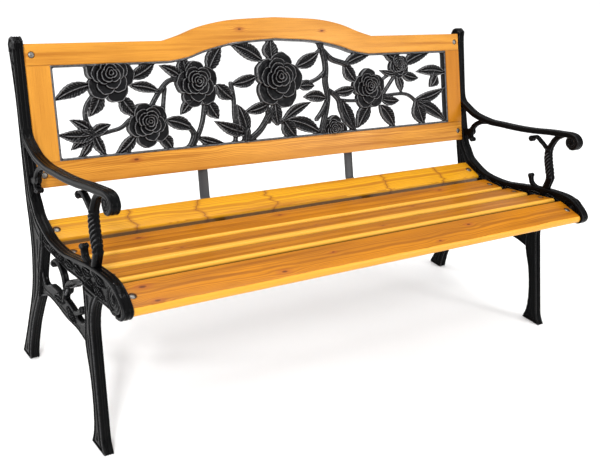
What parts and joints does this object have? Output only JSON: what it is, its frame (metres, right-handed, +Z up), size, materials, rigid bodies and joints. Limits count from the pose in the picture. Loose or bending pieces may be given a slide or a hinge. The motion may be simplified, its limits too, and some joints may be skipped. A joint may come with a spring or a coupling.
{
  "type": "garden bench",
  "caption": "Garden bench with scrolled cast-iron end frames, a contoured slatted wooden seat and an arched wooden back around a pierced rose panel.",
  "frame": {"origin": "on the ground under the middle of the bench's bounding box", "axes": "+X along the bench to the left hand of a person sitting on it, +Z up, and the sitter faces -Y"},
  "size_m": [1.27, 0.5682, 0.7171],
  "materials": {
    "black_cast_iron": "black satin-gloss paint over a cast surface",
    "varnished_softwood": "honey-orange varnish, satin gloss",
    "painted_bar": "dark grey paint, satin",
    "zinc_steel": "bright zinc plate"
  },
  "bodies": {
    "root": {"back_bottom_rail": "varnished_softwood", "back_left_stile": "varnished_softwood", "back_right_stile": "varnished_softwood", "back_top_rail": "varnished_softwood", "bar_screw_left_1": "zinc_steel", "bar_screw_left_2": "zinc_steel", "bar_screw_left_3": "zinc_steel", "bar_screw_left_4": "zinc_steel", "bar_screw_left_5": "zinc_steel", "bar_screw_left_6": "zinc_steel", "bar_screw_right_1": "zinc_steel", "bar_screw_right_2": "zinc_steel", "bar_screw_right_3": "zinc_steel", "bar_screw_right_4": "zinc_steel", "bar_screw_right_5": "zinc_steel", "bar_screw_right_6": "zinc_steel", "bolt_back_bottom_left": "zinc_steel", "bolt_back_bottom_right": "zinc_steel", "bolt_back_top_left": "zinc_steel", "bolt_back_top_right": "zinc_steel", "bolt_seat_1_left": "zinc_steel", "bolt_seat_1_right": "zinc_steel", "bolt_seat_2_left": "zinc_steel", "bolt_seat_2_right": "zinc_steel", "bolt_seat_3_left": "zinc_steel", "bolt_seat_3_right": "zinc_steel", "bolt_seat_4_left": "zinc_steel", "bolt_seat_4_right": "zinc_steel", "bolt_seat_5_left": "zinc_steel", "bolt_seat_5_right": "zinc_steel", "left_end_frame": "black_cast_iron", "left_support_bar": "painted_bar", "nut_back_bottom_left": "zinc_steel", "nut_back_bottom_right": "zinc_steel", "nut_back_top_left": "zinc_steel", "nut_back_top_right": "zinc_steel", "nut_seat_1_left": "zinc_steel", "nut_seat_1_right": "zinc_steel", "nut_seat_2_left": "zinc_steel", "nut_seat_2_right": "zinc_steel", "nut_seat_3_left": "zinc_steel", "nut_seat_3_right": "zinc_steel", "nut_seat_4_left": "zinc_steel", "nut_seat_4_right": "zinc_steel", "nut_seat_5_left": "zinc_steel", "nut_seat_5_right": "zinc_steel", "panel_screw_1": "zinc_steel", "panel_screw_2": "zinc_steel", "panel_screw_3": "zinc_steel", "panel_screw_4": "zinc_steel", "panel_screw_5": "zinc_steel", "panel_screw_6": "zinc_steel", "right_end_frame": "black_cast_iron", "right_support_bar": "painted_bar", "rose_panel": "black_cast_iron", "seat_slat_1": "varnished_softwood", "seat_slat_2": "varnished_softwood", "seat_slat_3": "varnished_softwood", "seat_slat_4": "varnished_softwood", "seat_slat_5": "varnished_softwood"}
  },
  "joints": []
}
